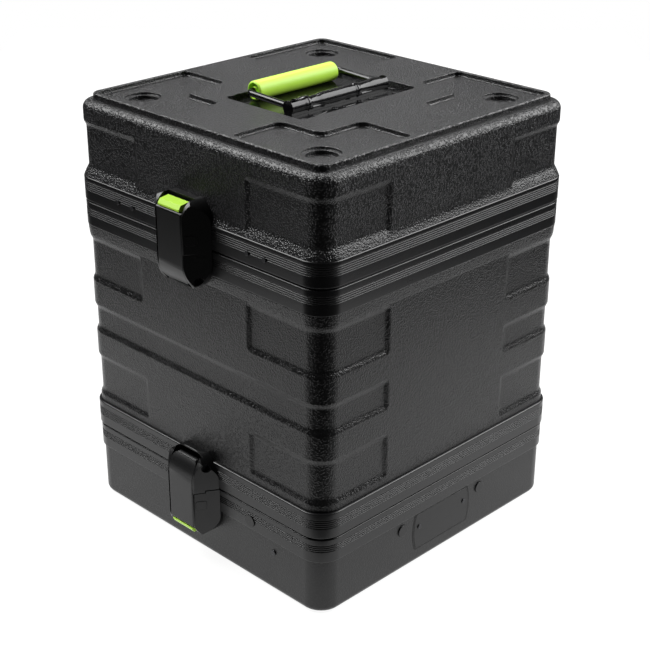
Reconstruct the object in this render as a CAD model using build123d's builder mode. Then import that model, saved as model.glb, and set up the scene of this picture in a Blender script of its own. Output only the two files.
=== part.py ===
"""A tall stackable microphone case: base tray, sleeve body and lift-off lid,
held together by two latches on each side, with a spring-back handle in the lid.
Millimetres. The origin is under the middle of the base, +Z is up and -Y is the front."""

import math
import os

from build123d import *

os.makedirs("parts", exist_ok=True)

# ---- driving dimensions -------------------------------------------------------------
# Plan: every wall is a rounded square about one set of corner centres.
case_half = 210.0            # half width over the lid's valance
corner_r = 30.0              # corner radius at case_half
base_inset = 3.0             # from case_half in to the base wall
body_inset = 2.5
lid_inset = 4.0
liner_inset = 4.0            # to the shells inside their valances
shell_t = 5.0                # wall of every shell

# Heights, from the floor up.
base_wall_h = 70.0
base_valance_h = 31.5
low_valance_h = 33.5
body_wall_h = 226.0
body_flare_h = 13.0
top_valance_h = 31.0
lid_valance_h = 30.5
lid_flare_h = 8.5
lid_wall_h = 83.0
pad_step_h = 1.5             # from the lid's shoulder up to the floor of its corner pads
plateau_h = 6.0              # from the floor of the corner pads up to the raised top
seam_gap = 0.3               # between the valances of two separate sections

# Shells.
floor_t = 5.0
base_foot_r = 8.0
lid_shoulder_r = 10.0
flare_step = 0.5             # how far a flare stays behind its valance

# Sunk panels round the vertical corners.
body_panel_depth = 2.7
lid_panel_depth = 2.8
panel_end_x = 100.0          # where a panel stops on the front and rear walls
panel_end_y = 90.0           # where a panel stops on the side walls
panel_corner_r = 7.0
low_panel = (8.0, 59.0)      # start above the body wall's foot, height
mid_panel = (96.0, 40.0)
high_panel = (165.0, 61.0)
lid_panel = (0.0, 60.0)      # start above the lid wall's foot, height

# Valances.
valance_edge_r = 1.5
base_valance_inset = 0.5
low_valance_proud = 0.7
top_valance_inset = 0.5
flange_t = 6.0
stripe_w = 1.2
stripe_pitch = 2.5
stripe_depth = 0.8
wide_stripes = 5
narrow_stripes = 4
wide_stripe_start = 14.0     # first stripe from the seam on the wide valances
narrow_stripe_start = 8.5
seal_slot_w = 4.0
seal_slot_depth = 3.5
seal_slot_inset = 1.5        # from the liner in to the slot's middle line
seal_t = 1.6
tongue_h = 1.5
tongue_play = 0.4

# Lid top.
pad_edge_inset = 17.0        # from case_half in to the edge of the raised top
pad_edge_r = 2.5
rim_ridge_w = 6.0            # ridge left between a corner pad and the edge of the top
plateau_arm_half = 50.0      # half width of the raised middle where it reaches the rim
notch_beside_pocket_x = 34.0 # from a pocket's middle in to the raised middle's corner
notch_beside_pocket_y = 36.0
plateau_corner_r = 12.0
pad_corner_r = 9.0           # outermost corner of a corner pad
pad_end_r = 8.0              # where a corner pad ends beside the raised arms
plateau_edge_r = 1.0
pocket_inset = 62.0          # from case_half in to a pocket's middle
pocket_outer_d = 42.0
pocket_outer_depth = 3.0
pocket_inner_d = 35.0
pocket_inner_depth = 8.0
well_x = 190.0
well_y = 128.0
well_r = 8.0
well_depth = 9.0

# Handle.
plate_t = 2.0
plate_play = 2.0
pivot_y = -25.0
barrel_d = 17.0
barrel_bore_d = 12.5
barrel_length = 158.0
barrel_end_t = 1.5
barrel_foot_t = 1.0
barrel_split_w = 1.5
barrel_splits = (-53.0, 27.0)
rod_d = 8.0
rod_corner_r = 7.0
arm_x = 73.2
grip_y = 47.0
grip_d = 23.0
grip_length = 130.0
grip_gap = 0.3               # under the grip when it lies down
handle_play = 0.5
handle_past_upright = 5.0    # degrees that the handle turns beyond upright, to its stop
spring_d = 11.5
spring_length = 38.0
plate_rivet_d = 7.0
plate_rivet_h = 1.4
plate_rivets = ((-75.0, -47.0), (-21.0, -42.0), (21.0, -42.0), (75.0, -47.0))

# Latches: u is out from the valance, w runs from the pivot end to the trigger end.
latch_drop = 3.0             # latch middle below the seam it closes
latch_back_u = -5.0          # housings are moulded back to the wall behind them
latch_depth = 27.0
latch_back_half = 40.0
latch_front_half = 23.0
latch_top = 62.0
latch_bottom = -47.0
latch_outline_r = 28.0
latch_pivot_end_r = 34.0
latch_slope_start = -12.0    # the front curves back below here
latch_foot = (16.5, -39.0)   # to here
latch_end_u = 8.0            # and round to here, at the very end
parting_front = 0.0          # where the two housings part: stepped, higher towards the front
parting_rear = -3.0
parting_step_u = 14.0
housing_gap = 0.5
housing_web_t = 3.0
slot_end_w = -45.0
slot_end_r = 9.0
slot_back_u = 9.0            # end wall of the slot stands out this far
slot_back_w = -38.0
recess_back_u = 6.5
recess_start = 40.0
lever_half = 21.5
lever_play = 0.5
lever_edge_r = 2.5
lever_front_t = 4.0
lever_side_t = 3.0
lever_side_back = 13.0
lever_top = 48.5
lever_bottom = -39.5
latch_pivot = (12.5, -33.0)
pivot_d = 6.4
pivot_boss_r = 6.5
pivot_head_d = 10.0
pivot_head_t = 3.0
pivot_end_half = 28.0
running_clearance = 0.05
claw_half = 7.0
claw_w = (14.0, 22.0)
keeper_half = 14.0
keeper_w = (4.0, 13.5)
keeper_u = 8.0
claw_gap = 0.4
cap_size = (12.0, 13.5)
cap_at = (19.0, 16.5)
cap_r = 2.5
cap_play = 0.2
cap_proud = 0.4
cap_depth = 2.5
trigger_half = 17.8
trigger_pivot = (18.0, 37.0)
trunnion_d = 5.0
trunnion_length = 2.2
trigger_t = 3.0

# Inside.
shelf_z = 214.0
shelf_t = 5.0
ledge_w = 14.0
ledge_t = 10.0
ledge_length = 300.0
fit_play = 0.3
slat_t = 30.0
slat_h = 168.0
slats_per_way = 5
base_pad_t = 10.0
lid_pad_t = 30.0

# Small parts on the outside.
valance_rivet_d = 6.0
valance_rivet_h = 1.6
valance_rivets_y = (-125.0, -98.0, 98.0, 125.0)
valance_rivet_rise = 14.5
name_plate_w = 92.0
name_plate_h = 47.0
name_plate_bow = 4.0
name_plate_t = 1.2
name_plate_sink = 0.8
name_plate_z = 44.0
plate_screw_d = 6.0
plate_screw_h = 1.2
plate_screw_at = 41.0
plate_screw_z = 49.5
plug_d = 15.0
plug_h = 1.5
plug_at = 71.0
plug_z = 57.0
side_plug_at = (-92.6, 81.6)
side_rivet_at = (-129.6, 54.0)
side_rivet_d = 7.0

# ---- sizes that follow ----------------------------------------------------------------
corner_centre = case_half - corner_r
base_half = case_half - base_inset
body_half = case_half - body_inset
lid_half = case_half - lid_inset
liner_half = case_half - liner_inset
base_valance_half = case_half - base_valance_inset
low_valance_half = case_half + low_valance_proud
top_valance_half = case_half - top_valance_inset
lid_valance_half = case_half
seal_slot_half = liner_half - seal_slot_inset
pad_edge_half = case_half - pad_edge_inset
pad_reach = pad_edge_half - rim_ridge_w
pocket_at = case_half - pocket_inset
plateau_notch_x = pocket_at - notch_beside_pocket_x
plateau_notch_y = pocket_at - notch_beside_pocket_y
cavity_half = liner_half - shell_t
low_seam = base_wall_h + base_valance_h
body_foot = low_seam + low_valance_h
flare_foot = body_foot + body_wall_h
top_valance_z = flare_foot + body_flare_h
top_seam = top_valance_z + top_valance_h
lid_flare_z = top_seam + lid_valance_h
lid_foot = lid_flare_z + lid_flare_h
shoulder_z = lid_foot + lid_wall_h
pad_z = shoulder_z + pad_step_h
top_z = pad_z + plateau_h
deck_z = pad_z - pocket_inner_depth - shell_t
well_z = top_z - well_depth
plate_top = well_z + plate_t
pivot_z = plate_top + barrel_foot_t + (barrel_d - barrel_foot_t) / 2
grip_z = plate_top + grip_gap + grip_d / 2
cell = (2 * (cavity_half - fit_play) - slats_per_way * slat_t) / (slats_per_way - 1)


def square(half, mode=Mode.ADD):
    """A rounded square about the shared corner centres."""
    return RectangleRounded(2 * half, 2 * half, max(half - corner_centre, 1.0), mode=mode)


def ring(low, high, outer, inner):
    """A square ring between two heights."""
    with BuildPart() as made:
        with BuildSketch(Plane.XY.offset(low)):
            square(outer)
            square(inner, mode=Mode.SUBTRACT)
        extrude(amount=high - low)
    return made.part


def corner_plates(low, height, wall_half, depth, side_ends=True):
    """Four plates that wrap the vertical corners: they sink a panel into a wall."""
    reach = 12.0
    with BuildPart() as made:
        with BuildSketch(Plane.XY.offset(low)):
            square(wall_half + reach)
            square(wall_half - depth, mode=Mode.SUBTRACT)
            Rectangle(2 * panel_end_x, 4 * case_half, mode=Mode.SUBTRACT)
            if side_ends:
                Rectangle(4 * case_half, 2 * panel_end_y, mode=Mode.SUBTRACT)
        extrude(amount=height)
        level = made.edges().filter_by(lambda e: e.length < reach + depth + 1)
        level = level.filter_by(Axis.X) + level.filter_by(Axis.Y)
        fillet(level, min(panel_corner_r, 0.45 * height))
    return made.part


def valance(low, high, outer, seam_is_high, stripes, first, tongue):
    """An extruded frame with a flange on its seam side, stripes, and a seal slot or tongue."""
    inward = -1 if seam_is_high else 1
    seam = high if seam_is_high else low
    with BuildPart() as made:
        with BuildSketch(Plane.XY.offset(low)):
            square(outer)
        extrude(amount=high - low)
        fillet(made.edges().group_by(Axis.Z)[0] + made.edges().group_by(Axis.Z)[-1], valance_edge_r)
        with BuildSketch(Plane.XY.offset(low)):
            square(liner_half)
        extrude(amount=high - low, mode=Mode.SUBTRACT)
        with BuildSketch(Plane.XY.offset(seam)):
            square(liner_half)
            square(cavity_half, mode=Mode.SUBTRACT)
        extrude(amount=inward * flange_t)
        for index in range(stripes):
            rise = seam + inward * (first + index * stripe_pitch)
            with BuildSketch(Plane.XY.offset(rise)):
                square(outer + 2)
                square(outer - stripe_depth, mode=Mode.SUBTRACT)
            extrude(amount=inward * stripe_w, mode=Mode.SUBTRACT)
        if tongue:
            with BuildSketch(Plane.XY.offset(seam)):
                square(seal_slot_half + seal_slot_w / 2 - tongue_play)
                square(seal_slot_half - seal_slot_w / 2 + tongue_play, mode=Mode.SUBTRACT)
            extrude(amount=-inward * tongue_h)
        else:
            with BuildSketch(Plane.XY.offset(seam)):
                square(seal_slot_half + seal_slot_w / 2)
                square(seal_slot_half - seal_slot_w / 2, mode=Mode.SUBTRACT)
            extrude(amount=inward * seal_slot_depth, mode=Mode.SUBTRACT)
    return made.part


def save(part, name):
    """Labels one finished piece and writes it."""
    part.label = name
    export_step(part, f"parts/{name}.step")


# ---- base -----------------------------------------------------------------------------
with BuildPart() as base_shell:
    with BuildSketch():
        square(base_half)
    extrude(amount=base_wall_h)
    fillet(base_shell.edges().group_by(Axis.Z)[0], base_foot_r)
    with BuildSketch(Plane.XY.offset(base_wall_h)):
        square(liner_half)
    extrude(amount=base_valance_h - flange_t)
    with BuildSketch(Plane.XY.offset(floor_t)):
        square(cavity_half)
    extrude(amount=low_seam, mode=Mode.SUBTRACT)
    with BuildSketch(Plane.XZ.offset(base_half)) as plate_seat:
        with Locations((0, name_plate_z)):
            Rectangle(name_plate_w + 2 * name_plate_bow + 3, name_plate_h + 3)
        fillet(plate_seat.vertices(), 6)
    extrude(amount=-name_plate_sink, mode=Mode.SUBTRACT)
save(base_shell.part, "base_shell")

base_valance = valance(base_wall_h, low_seam, base_valance_half, True,
                       narrow_stripes, narrow_stripe_start, tongue=False)
save(base_valance, "base_valance")

low_gasket = ring(low_seam - seal_slot_depth, low_seam - seal_slot_depth + seal_t,
                  seal_slot_half + seal_slot_w / 2, seal_slot_half - seal_slot_w / 2)
save(low_gasket, "lower_gasket")

with BuildPart() as base_foam:
    with BuildSketch(Plane.XY.offset(floor_t)):
        square(cavity_half - fit_play)
    extrude(amount=base_pad_t)
save(base_foam.part, "base_foam_pad")

plate_face = base_half - name_plate_sink
with BuildPart() as name_plate:
    with BuildSketch(Plane.XZ.offset(plate_face)):
        with BuildLine():
            side = name_plate_w / 2
            low_edge = name_plate_z - name_plate_h / 2
            high_edge = name_plate_z + name_plate_h / 2
            middle = name_plate_z
            Line((-side, low_edge), (side, low_edge))
            ThreePointArc((side, low_edge), (side + name_plate_bow, middle), (side, high_edge))
            Line((side, high_edge), (-side, high_edge))
            ThreePointArc((-side, high_edge), (-side - name_plate_bow, middle), (-side, low_edge))
        make_face()
    extrude(amount=name_plate_t)
    fillet(name_plate.edges().filter_by(Axis.Y), 3)
save(name_plate.part, "name_plate")

with BuildPart() as name_plate_screws:
    with BuildSketch(Plane.XZ.offset(plate_face + name_plate_t)):
        with Locations((-plate_screw_at, plate_screw_z), (plate_screw_at, plate_screw_z)):
            Circle(plate_screw_d / 2)
    extrude(amount=plate_screw_h)
    fillet(name_plate_screws.faces().sort_by(Axis.Y)[:2].edges(), plate_screw_h / 2)
save(name_plate_screws.part, "name_plate_screws")

with BuildPart() as base_plugs:
    with BuildSketch(Plane.XZ.offset(base_half)):
        with Locations((-plug_at, plug_z), (plug_at, plug_z)):
            Circle(plug_d / 2)
    extrude(amount=plug_h)
    fillet(base_plugs.faces().sort_by(Axis.Y)[:2].edges(), plug_h / 2)
    with BuildSketch(Plane.YZ.offset(-base_valance_half)):
        with Locations(side_plug_at):
            Circle(plug_d / 2)
    extrude(amount=-plug_h)
save(base_plugs.part, "base_plugs")

with BuildPart() as base_rivet:
    with BuildSketch(Plane.YZ.offset(-base_half)):
        with Locations(side_rivet_at):
            Circle(side_rivet_d / 2)
    extrude(amount=-valance_rivet_h)
    fillet(base_rivet.faces().sort_by(Axis.X)[0].edges(), valance_rivet_h / 2)
save(base_rivet.part, "base_rivet")

# ---- body -----------------------------------------------------------------------------
with BuildPart() as body_shell:
    with BuildSketch(Plane.XY.offset(low_seam + seam_gap + flange_t)):
        square(liner_half)
    extrude(amount=low_valance_h - seam_gap - flange_t)
    with BuildSketch(Plane.XY.offset(body_foot)):
        square(body_half)
    extrude(amount=body_wall_h)
    with BuildSketch(Plane.XY.offset(flare_foot)):
        square(body_half)
    with BuildSketch(Plane.XY.offset(top_valance_z)):
        square(top_valance_half - flare_step)
    loft()
    with BuildSketch(Plane.XY.offset(top_valance_z)):
        square(liner_half)
    extrude(amount=top_valance_h - flange_t)
    with BuildSketch(Plane.XY.offset(low_seam)):
        square(cavity_half)
    extrude(amount=top_seam - low_seam, mode=Mode.SUBTRACT)
    add(corner_plates(body_foot + low_panel[0], low_panel[1], body_half, body_panel_depth),
        mode=Mode.SUBTRACT)
    add(corner_plates(body_foot + mid_panel[0], mid_panel[1], body_half, body_panel_depth, False),
        mode=Mode.SUBTRACT)
    add(corner_plates(body_foot + high_panel[0], high_panel[1], body_half, body_panel_depth),
        mode=Mode.SUBTRACT)
save(body_shell.part, "body_shell")

low_valance = valance(low_seam + seam_gap, body_foot, low_valance_half, False,
                      wide_stripes, wide_stripe_start, tongue=True)
save(low_valance, "body_lower_valance")

top_valance = valance(top_valance_z, top_seam, top_valance_half, True,
                      narrow_stripes, narrow_stripe_start, tongue=False)
save(top_valance, "body_upper_valance")

top_gasket = ring(top_seam - seal_slot_depth, top_seam - seal_slot_depth + seal_t,
                  seal_slot_half + seal_slot_w / 2, seal_slot_half - seal_slot_w / 2)
save(top_gasket, "upper_gasket")

with BuildPart() as shelf:
    with BuildSketch(Plane.XY.offset(shelf_z)):
        square(cavity_half - fit_play)
    extrude(amount=shelf_t)
save(shelf.part, "shelf_panel")

with BuildPart() as shelf_ledges:
    with BuildSketch(Plane.XY.offset(shelf_z - ledge_t)):
        for turn in (0, 90):
            with Locations(Location((0, 0), turn)):
                with Locations((0, cavity_half - ledge_w / 2), (0, -cavity_half + ledge_w / 2)):
                    Rectangle(ledge_length, ledge_w)
    extrude(amount=ledge_t)
save(shelf_ledges.part, "shelf_ledges")

slat_step = slat_t + cell
slat_length = 2 * (cavity_half - fit_play)
slat_foot = shelf_z + shelf_t


def slats(turned):
    """Foam slats with half-height slots: one set stands in the slots of the other."""
    with BuildPart() as made:
        with BuildSketch(Plane.XY.offset(slat_foot)):
            for index in range(slats_per_way):
                place = (index - (slats_per_way - 1) / 2) * slat_step
                at = (0, place) if not turned else (place, 0)
                size = (slat_length, slat_t) if not turned else (slat_t, slat_length)
                with Locations(at):
                    Rectangle(*size)
        extrude(amount=slat_h)
        slot_foot = slat_foot if turned else slat_foot + slat_h / 2
        with BuildSketch(Plane.XY.offset(slot_foot)):
            for index in range(slats_per_way):
                place = (index - (slats_per_way - 1) / 2) * slat_step
                at = (place, 0) if not turned else (0, place)
                size = (slat_t, 4 * case_half) if not turned else (4 * case_half, slat_t)
                with Locations(at):
                    Rectangle(*size)
        extrude(amount=slat_h / 2, mode=Mode.SUBTRACT)
        with BuildSketch(Plane.XY.offset(slat_foot)):
            square(cavity_half - fit_play)
        extrude(amount=slat_h, mode=Mode.INTERSECT)
    return made.part


save(slats(turned=False), "foam_slats_long")
save(slats(turned=True), "foam_slats_cross")

# ---- lid ------------------------------------------------------------------------------
with BuildPart() as lid_shell:
    with BuildSketch(Plane.XY.offset(top_seam + seam_gap + flange_t)):
        square(liner_half)
    extrude(amount=lid_valance_h - seam_gap - flange_t)
    with BuildSketch(Plane.XY.offset(lid_foot)):
        square(lid_half)
    extrude(amount=lid_wall_h)
    fillet(lid_shell.edges().group_by(Axis.Z)[-1], lid_shoulder_r)
    with BuildSketch(Plane.XY.offset(lid_flare_z)):
        square(lid_valance_half - flare_step)
    with BuildSketch(Plane.XY.offset(lid_foot)):
        square(lid_half)
    loft()
    with BuildSketch(Plane.XY.offset(shoulder_z)):
        square(pad_edge_half)
    extrude(amount=top_z - shoulder_z)
    fillet(lid_shell.edges().group_by(Axis.Z)[-1], pad_edge_r)
    with BuildSketch(Plane.XY.offset(pad_z)) as pads:
        RectangleRounded(2 * pad_reach, 2 * pad_reach, pad_corner_r)
        Rectangle(2 * plateau_arm_half, 2 * pad_edge_half, mode=Mode.SUBTRACT)
        Rectangle(2 * pad_edge_half, 2 * plateau_arm_half, mode=Mode.SUBTRACT)
        Rectangle(2 * plateau_notch_x, 2 * plateau_notch_y, mode=Mode.SUBTRACT)
        beside_notch = pads.vertices().filter_by(
            lambda v: max(abs(v.X), abs(v.Y)) < plateau_notch_x + 1)
        fillet(beside_notch, plateau_corner_r)
        beside_arm = pads.vertices().filter_by(
            lambda v: min(abs(v.X), abs(v.Y)) < plateau_arm_half + 1
            and max(abs(v.X), abs(v.Y)) > pad_reach - 1)
        fillet(beside_arm, pad_end_r)
    extrude(amount=plateau_h, mode=Mode.SUBTRACT)
    floors = lid_shell.faces().filter_by(Axis.Z).filter_by(lambda f: abs(f.center().Z - top_z) < 0.01)
    fillet(floors.sort_by(SortBy.AREA)[-1].inner_wires().edges(), plateau_edge_r)
    with BuildSketch(Plane.XY.offset(top_seam)):
        square(cavity_half)
    extrude(amount=deck_z - top_seam, mode=Mode.SUBTRACT)
    add(corner_plates(lid_foot + lid_panel[0] - 3, lid_panel[1] + 3, lid_half, lid_panel_depth),
        mode=Mode.SUBTRACT)
    with GridLocations(2 * pocket_at, 2 * pocket_at, 2, 2):
        with Locations((0, 0, pad_z)):
            Hole(pocket_outer_d / 2, pocket_outer_depth)
            Hole(pocket_inner_d / 2, pocket_inner_depth)
    with BuildSketch(Plane.XY.offset(well_z)):
        RectangleRounded(well_x, well_y, well_r)
    extrude(amount=well_depth, mode=Mode.SUBTRACT)
save(lid_shell.part, "lid_shell")

lid_valance = valance(top_seam + seam_gap, lid_flare_z, lid_valance_half, False,
                      wide_stripes, wide_stripe_start, tongue=True)
save(lid_valance, "lid_valance")

with BuildPart() as lid_foam:
    with BuildSketch(Plane.XY.offset(deck_z - lid_pad_t)):
        square(cavity_half - fit_play)
    extrude(amount=lid_pad_t)
save(lid_foam.part, "lid_foam_pad")

with BuildPart() as lid_rivets:
    for face_x, out in ((-lid_valance_half, -1), (lid_valance_half, 1)):
        with BuildSketch(Plane.YZ.offset(face_x)):
            with Locations(*[(y, top_seam + valance_rivet_rise) for y in valance_rivets_y]):
                Circle(valance_rivet_d / 2)
        extrude(amount=out * valance_rivet_h)
save(lid_rivets.part, "lid_rivets")

# ---- handle ---------------------------------------------------------------------------
with BuildPart() as handle_plate:
    with BuildSketch(Plane.XY.offset(well_z)):
        RectangleRounded(well_x - 2 * plate_play, well_y - 2 * plate_play, well_r - plate_play)
    extrude(amount=plate_t)
save(handle_plate.part, "handle_plate")

with BuildPart() as plate_rivets_part:
    with BuildSketch(Plane.XY.offset(plate_top)):
        with Locations(*plate_rivets):
            Circle(plate_rivet_d / 2)
    extrude(amount=plate_rivet_h)
    fillet(plate_rivets_part.faces().sort_by(Axis.Z)[-4:].edges(), plate_rivet_h / 2)
save(plate_rivets_part.part, "handle_plate_rivets")

across = Plane.YZ.offset(-barrel_length / 2)
with BuildPart() as handle_barrel:
    with BuildSketch(across):
        with Locations((pivot_y, pivot_z)):
            Circle(barrel_d / 2)
    extrude(amount=barrel_length)
    with BuildSketch(across):
        with Locations((pivot_y, plate_top + barrel_d / 4)):
            Rectangle(barrel_d - 4, barrel_d / 2)
    extrude(amount=barrel_length)
    with BuildSketch(Plane.YZ.offset(-barrel_length / 2 + barrel_end_t)):
        with Locations((pivot_y, pivot_z)):
            Circle(barrel_bore_d / 2)
    extrude(amount=barrel_length - 2 * barrel_end_t, mode=Mode.SUBTRACT)
    past = math.radians(handle_past_upright)
    window = rod_d / 2 + handle_play
    window_back = rod_d / 2 / math.cos(past) + barrel_d / 2 * math.tan(past) + handle_play
    for side in (-1, 1):
        with Locations((side * arm_x, pivot_y - window_back, pivot_z - window)):
            Box(rod_d + 2 * handle_play, barrel_d, barrel_d,
                align=(Align.CENTER, Align.MIN, Align.MIN), mode=Mode.SUBTRACT)
    for split_x in barrel_splits:
        with Locations((split_x, pivot_y, pivot_z + barrel_foot_t)):
            Box(barrel_split_w, 2 * barrel_d, barrel_d, mode=Mode.SUBTRACT)
save(handle_barrel.part, "handle_barrel")

rod_end = arm_x - 22.0
with BuildPart() as handle_bail:
    with BuildLine():
        FilletPolyline(
            (-rod_end, pivot_y, pivot_z),
            (-arm_x, pivot_y, pivot_z),
            (-arm_x, grip_y, grip_z),
            (arm_x, grip_y, grip_z),
            (arm_x, pivot_y, pivot_z),
            (rod_end, pivot_y, pivot_z),
            radius=rod_corner_r,
        )
    with BuildSketch(Plane(origin=(-rod_end, pivot_y, pivot_z), z_dir=(-1, 0, 0))):
        Circle(rod_d / 2)
    sweep()
save(handle_bail.part, "handle_bail")

with BuildPart() as handle_grip:
    with BuildSketch(Plane.YZ.offset(-grip_length / 2)):
        with Locations((grip_y, grip_z)):
            Circle(grip_d / 2)
            Circle(rod_d / 2 + running_clearance, mode=Mode.SUBTRACT)
    extrude(amount=grip_length)
    outer_rims = handle_grip.edges().filter_by(GeomType.CIRCLE).sort_by(SortBy.RADIUS)[-2:]
    fillet(outer_rims, 2.5)
save(handle_grip.part, "handle_grip")

with BuildPart() as handle_springs:
    for side in (-1, 1):
        low_x = side * (rod_end - 2) - (spring_length if side > 0 else 0)
        with BuildSketch(Plane.YZ.offset(low_x)):
            with Locations((pivot_y, pivot_z)):
                Circle(spring_d / 2)
                Circle(rod_d / 2 + 4 * running_clearance, mode=Mode.SUBTRACT)
        extrude(amount=spring_length)
save(handle_springs.part, "handle_springs")


# ---- latches --------------------------------------------------------------------------
def side_view(half):
    """The plane of a latch's side view, at half across: u out from the case, w along the latch."""
    return Plane(origin=(0, half, 0), x_dir=(1, 0, 0), z_dir=(0, -1, 0))


def box_between(u, y_half, w):
    """A box in latch axes from ranges of u and w, as wide as y_half each way."""
    with BuildPart() as made:
        with Locations(((u[0] + u[1]) / 2, 0, (w[0] + w[1]) / 2)):
            Box(u[1] - u[0], 2 * y_half, w[1] - w[0])
    return made.part


foot_u, foot_w = latch_foot
slope_r = (math.hypot(latch_depth - foot_u, latch_slope_start - foot_w) ** 2
           / (2 * (latch_depth - foot_u)))
slope_middle = (latch_slope_start + foot_w) / 2


def slope_u(w, inset=0.0):
    """How far out the curved lower front of a latch is at w, or a surface inset behind it."""
    return latch_depth - slope_r + math.sqrt((slope_r - inset) ** 2 - (latch_slope_start - w) ** 2)


def latch_form():
    """The rounded, flared block that both housings are cut from."""
    shoulder = (latch_depth - 15, latch_top - 1)
    with BuildPart() as made:
        with BuildSketch(side_view(latch_back_half + 1)):
            with BuildLine():
                Polyline((latch_back_u, latch_bottom + 2.5), (latch_end_u, latch_bottom))
                ThreePointArc((latch_end_u, latch_bottom), (latch_end_u + 5, latch_bottom + 3.3),
                              latch_foot)
                ThreePointArc(latch_foot, (slope_u(slope_middle), slope_middle),
                              (latch_depth, latch_slope_start))
                Polyline((latch_depth, latch_slope_start), (latch_depth, latch_top - 21))
                ThreePointArc((latch_depth, latch_top - 21), (latch_depth - 4.5, latch_top - 9),
                              shoulder)
                Polyline(shoulder, (latch_back_u, latch_top - 2), (latch_back_u, latch_bottom + 2.5))
            make_face()
        extrude(amount=2 * latch_back_half + 2)
        with BuildSketch(Plane.XY.offset(latch_bottom - 1)):
            with BuildLine():
                Polyline((latch_back_u, -latch_back_half), (0, -latch_back_half),
                         (latch_depth - 2, -latch_front_half - 1),
                         (latch_depth, -latch_front_half + 0.5),
                         (latch_depth, latch_front_half - 0.5),
                         (latch_depth - 2, latch_front_half + 1),
                         (0, latch_back_half), (latch_back_u, latch_back_half), close=True)
            make_face()
        extrude(amount=latch_top - latch_bottom + 2, mode=Mode.INTERSECT)
        with BuildSketch(Plane.YZ.offset(latch_back_u)) as outline:
            with Locations((0, (latch_top + latch_bottom) / 2)):
                Rectangle(2 * latch_back_half, latch_top - latch_bottom)
            fillet(outline.vertices().sort_by(Axis.Y)[:2], latch_pivot_end_r)
            fillet(outline.vertices().sort_by(Axis.Y)[-2:], latch_outline_r)
        extrude(amount=latch_depth - latch_back_u + 1, mode=Mode.INTERSECT)
    return made.part


latch_block = latch_form()
inner_half = lever_half + lever_play
far = latch_depth + 5
beyond = latch_back_half + 1
half_gap = housing_gap / 2

with BuildPart() as pivot_housing:
    add(latch_block)
    add(box_between((latch_back_u - 1, parting_step_u + half_gap), beyond,
                    (parting_rear - half_gap, latch_top + 1)), mode=Mode.SUBTRACT)
    add(box_between((parting_step_u, far), beyond, (parting_front - half_gap, latch_top + 1)),
        mode=Mode.SUBTRACT)
    with BuildSketch(Plane.YZ.offset(housing_web_t)):
        RectangleRounded(2 * inner_half, -2 * slot_end_w, slot_end_r)
    extrude(amount=far, mode=Mode.SUBTRACT)
    add(box_between((slot_back_u, far), inner_half, (latch_bottom - 1, slot_back_w)),
        mode=Mode.SUBTRACT)
    with BuildSketch(side_view(beyond)):
        with Locations(latch_pivot):
            Circle(pivot_d / 2 + running_clearance)
    extrude(amount=2 * beyond, mode=Mode.SUBTRACT)
    for near_half in (beyond, pivot_head_t - pivot_end_half):
        with BuildSketch(side_view(near_half)):
            with Locations(latch_pivot):
                Circle(pivot_head_d / 2 + handle_play / 2)
        extrude(amount=beyond - pivot_end_half + pivot_head_t, mode=Mode.SUBTRACT)

cap_u, cap_w = cap_at
flank_drop = (latch_back_half - latch_front_half - 1) / (latch_depth - 2)
cap_y = latch_back_half - flank_drop * cap_u
cap_lean = math.degrees(math.atan(flank_drop))


def flank_plane(side):
    """A plane on a housing's flared flank, where its cover cap sits."""
    normal = (math.sin(math.radians(cap_lean)), side * math.cos(math.radians(cap_lean)), 0)
    return Plane(origin=(cap_u, side * cap_y, cap_w), x_dir=(0, 0, 1), z_dir=normal)


with BuildPart() as keeper_housing:
    add(latch_block)
    add(box_between((latch_back_u - 1, far), beyond, (latch_bottom - 1, parting_rear + half_gap)),
        mode=Mode.SUBTRACT)
    add(box_between((parting_step_u - half_gap, far), beyond,
                    (parting_rear, parting_front + half_gap)), mode=Mode.SUBTRACT)
    add(box_between((housing_web_t, far), inner_half, (-5, recess_start)), mode=Mode.SUBTRACT)
    add(box_between((recess_back_u, far), inner_half, (recess_start - 1, latch_top + 1)),
        mode=Mode.SUBTRACT)
    add(box_between((housing_web_t - 1, keeper_u), keeper_half, keeper_w))
    for side in (-1, 1):
        with BuildSketch(flank_plane(side)):
            RectangleRounded(*cap_size, cap_r)
        extrude(amount=-cap_depth, mode=Mode.SUBTRACT)

with BuildPart() as cover_caps:
    for side in (-1, 1):
        with BuildSketch(flank_plane(side).offset(-cap_depth)):
            RectangleRounded(cap_size[0] - 2 * cap_play, cap_size[1] - 2 * cap_play,
                             cap_r - cap_play)
        extrude(amount=cap_depth + cap_proud)

with BuildPart() as pivot_pin:
    with BuildSketch(side_view(pivot_end_half)):
        with Locations(latch_pivot):
            Circle(pivot_d / 2)
    extrude(amount=2 * pivot_end_half)
    for near_half in (pivot_end_half, pivot_head_t - pivot_end_half):
        with BuildSketch(side_view(near_half)):
            with Locations(latch_pivot):
                Circle(pivot_head_d / 2)
        extrude(amount=pivot_head_t)
    with BuildSketch(side_view(pivot_end_half)):
        with Locations(latch_pivot):
            RegularPolygon(pivot_d / 2, 6, major_radius=False)
    extrude(amount=pivot_head_t / 2, mode=Mode.SUBTRACT)

front_inner = latch_depth - lever_front_t
inner_foot_w = latch_pivot[1] - 6

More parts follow.
